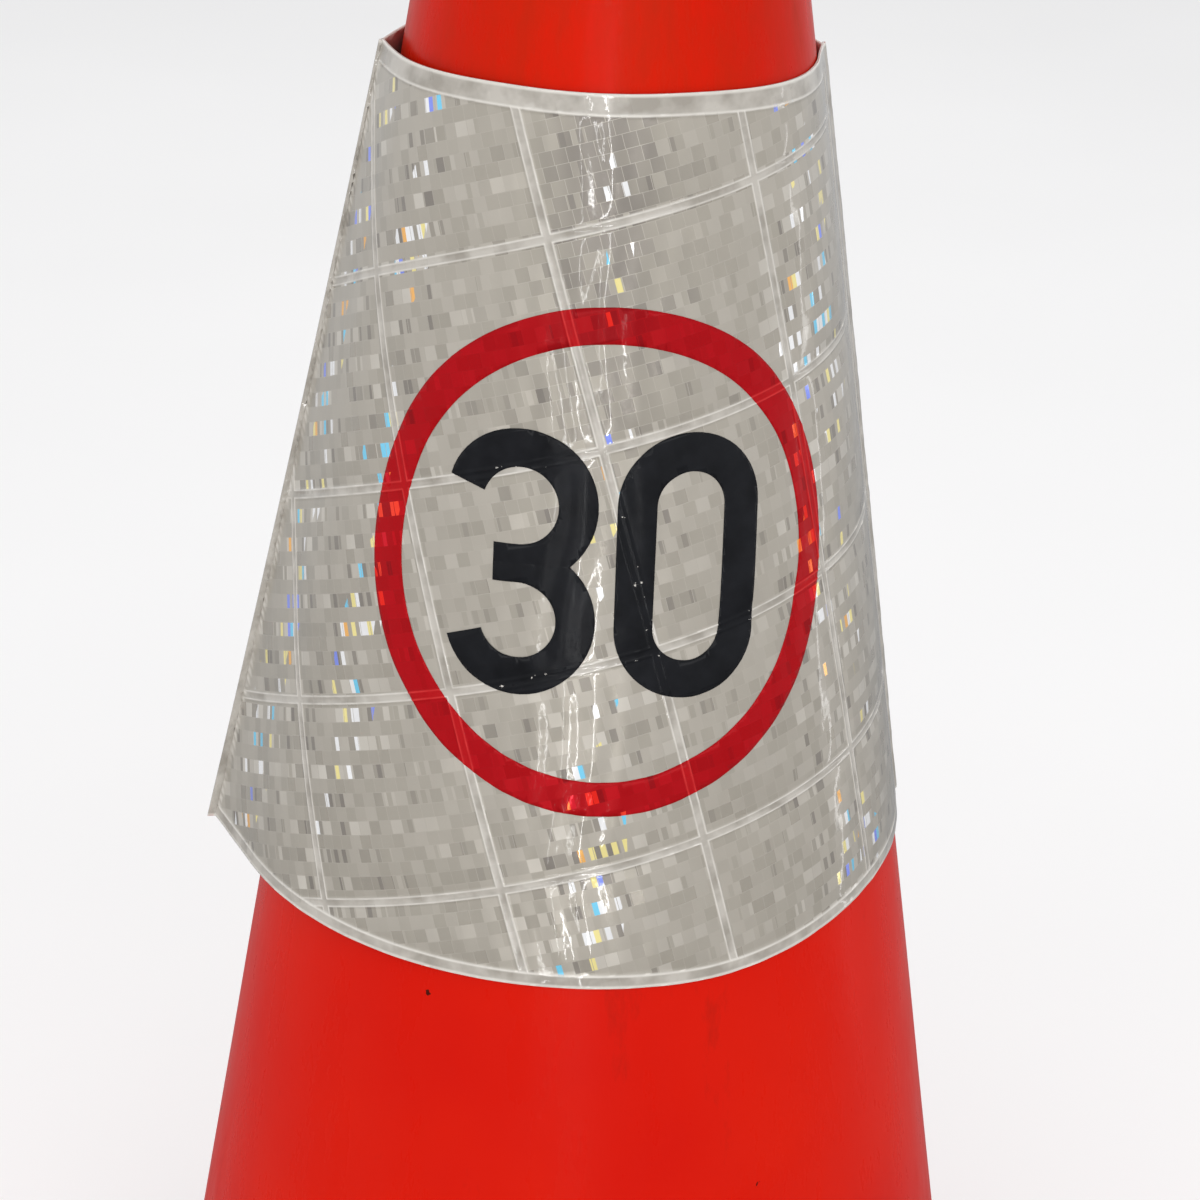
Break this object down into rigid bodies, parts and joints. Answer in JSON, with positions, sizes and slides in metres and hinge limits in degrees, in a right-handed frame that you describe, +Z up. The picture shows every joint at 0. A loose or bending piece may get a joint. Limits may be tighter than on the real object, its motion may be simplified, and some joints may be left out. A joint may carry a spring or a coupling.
{
  "type": "traffic cone",
  "caption": "Tall tapered road cone on a square rubber base, with a lift-off reflective sleeve that carries a printed ring and a plain number.",
  "frame": {"origin": "middle of the base's underside, on the ground", "axes": "+Z up along the cone's axis; the sleeve's printed front faces -Y; +X is to the right seen from the front"},
  "size_m": [0.37, 0.37, 0.75],
  "materials": {
    "cone_pvc": "glossy moulded PVC, lightly scuffed",
    "base_rubber": "matt moulded rubber with a fine grain",
    "backing_film": "white PVC film",
    "prism_film": "clear glossy PVC over small moulded prisms",
    "red_ink": "see-through red ink under gloss film",
    "black_ink": "solid black ink under gloss film"
  },
  "bodies": {
    "cone": {"cone_body": "cone_pvc", "base_block": "base_rubber"},
    "sleeve": {"front_backing_film": "backing_film", "front_prism_film": "prism_film", "back_backing_film": "backing_film", "back_prism_film": "prism_film", "red_ring_print": "red_ink", "tens_digit_print": "black_ink", "units_digit_print": "black_ink"}
  },
  "joints": [
    {"name": "sleeve_lift", "type": "slide", "parent": "cone", "child": "sleeve", "axis": [0, 0, 1], "range_m": [0, 0.44]}
  ]
}
